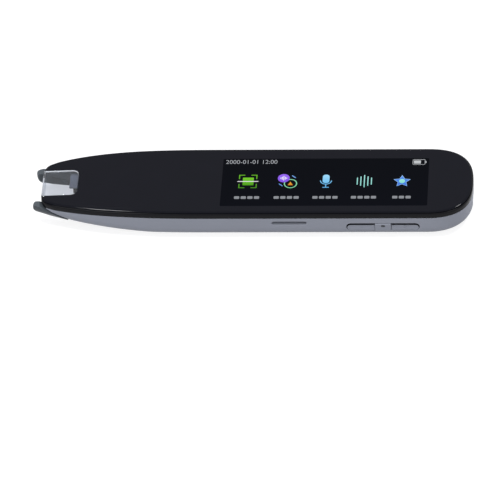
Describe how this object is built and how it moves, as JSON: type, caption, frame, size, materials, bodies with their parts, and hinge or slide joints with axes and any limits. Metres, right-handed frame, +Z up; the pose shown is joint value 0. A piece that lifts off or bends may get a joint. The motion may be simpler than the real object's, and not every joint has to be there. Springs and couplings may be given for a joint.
{
  "type": "scanning pen",
  "caption": "Flat hand-held pen that reads printed lines with a camera in its nose and shows them on a bar display.",
  "frame": {"origin": "middle of the box at the surface that the pen lies on, display up", "axes": "+X along the pen towards its tail, +Z up through the display, and the side keys face -Y"},
  "size_m": [0.1528, 0.0336, 0.0115],
  "materials": {
    "casing_grey": "satin metallic-grey lacquer",
    "casing_black": "polished black",
    "cover_sheet": "clear sheet printed black behind",
    "clear_window": "clear moulded plastic",
    "smoked_guard": "smoked plastic",
    "steel": "plated",
    "black_plastic": "moulded",
    "blue_plastic": "moulded",
    "circuit_board": "solder resist",
    "chip_package": "moulded",
    "lens": "polished",
    "display": "polished",
    "white_plastic": "moulded",
    "red_cover": "extruded",
    "pouch_foil": "satin foil",
    "polyimide": "film"
  },
  "bodies": {
    "pen_body": {"lower_housing": "casing_grey", "upper_frame": "casing_black", "cover_glass": "cover_sheet", "nose_window": "clear_window", "tip_spring_left": "steel", "tip_spring_right": "steel", "tip_switch": "black_plastic", "camera_bracket": "blue_plastic", "camera_module": "black_plastic", "camera_board": "circuit_board", "lens_barrel": "black_plastic", "lens_glass": "lens", "light_block_left": "blue_plastic", "light_block_right": "blue_plastic", "display_tape": "black_plastic", "display_panel": "display", "backlight_unit": "white_plastic", "display_flex": "polyimide", "main_board": "circuit_board", "shield_can": "steel", "processor_chip": "chip_package", "memory_chip": "chip_package", "microphone": "steel", "battery": "pouch_foil", "battery_lead_red": "red_cover", "battery_lead_black": "black_plastic", "battery_plug": "white_plastic", "battery_header": "white_plastic", "loudspeaker": "black_plastic", "speaker_mesh": "steel", "socket_shell": "steel", "socket_tongue": "black_plastic", "left_key_switch": "steel", "middle_key_switch": "steel", "right_key_switch": "steel", "key_board": "circuit_board", "screw_nose_left": "steel", "screw_nose_right": "steel", "screw_tail_left": "steel", "screw_tail_right": "steel"},
    "tip_fork": {"tip_fork": "smoked_guard"},
    "left_key": {"left_key": "casing_grey"},
    "middle_key": {"middle_key": "casing_grey"},
    "right_key": {"right_key": "casing_grey"}
  },
  "joints": [
    {"name": "tip_press", "type": "slide", "parent": "pen_body", "child": "tip_fork", "axis": [1, 0, 0], "range_m": [0, 0.0006], "stiffness_N_per_m": 500, "deforming": ["tip_spring_left", "tip_spring_right"]},
    {"name": "left_key_press", "type": "slide", "parent": "pen_body", "child": "left_key", "axis": [0, 1, 0], "range_m": [0, 0.00035], "stiffness_N_per_m": 900},
    {"name": "middle_key_press", "type": "slide", "parent": "pen_body", "child": "middle_key", "axis": [0, 1, 0], "range_m": [0, 0.00035], "stiffness_N_per_m": 900},
    {"name": "right_key_press", "type": "slide", "parent": "pen_body", "child": "right_key", "axis": [0, 1, 0], "range_m": [0, 0.00035], "stiffness_N_per_m": 900}
  ]
}
